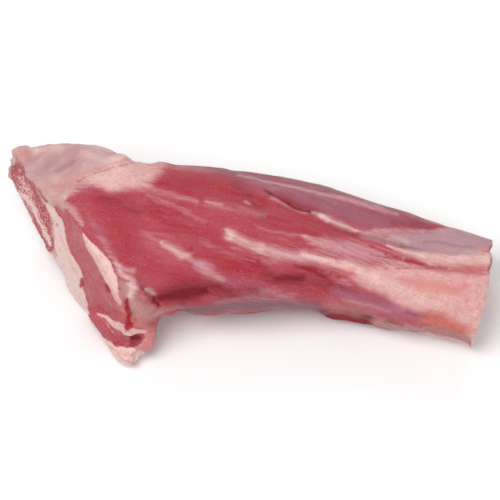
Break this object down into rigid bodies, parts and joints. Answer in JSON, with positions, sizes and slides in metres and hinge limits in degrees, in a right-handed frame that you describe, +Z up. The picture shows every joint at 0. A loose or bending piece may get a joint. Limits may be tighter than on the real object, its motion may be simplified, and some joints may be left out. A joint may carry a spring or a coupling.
{
  "type": "raw lamb shank",
  "caption": "Raw lamb shank lying on its side: tapering muscle round a through bone, cut slantwise through the knee with fat over the joint, and sawn off above the hock.",
  "frame": {"origin": "on the resting plane, under the middle of the overall box", "axes": "+Z up, +X along the shank from the knee cut to the sawn hock end, -Y the side towards the viewer"},
  "size_m": [0.2344, 0.1022, 0.0591],
  "materials": {
    "meat": "moist raw red muscle with silvery skin and pale streaks",
    "bone": "sawn spongy bone, pink-red with a pale rim",
    "fat": "moist pale pink fat",
    "gristle": "moist pink gristle"
  },
  "bodies": {
    "root": {"shank_meat": "meat", "shank_bone": "bone", "fat_cap": "fat", "wedge_fat": "fat", "rim_fat": "fat", "flap_meat": "meat", "flap_fat": "fat", "flap_lobe": "gristle"}
  },
  "joints": []
}
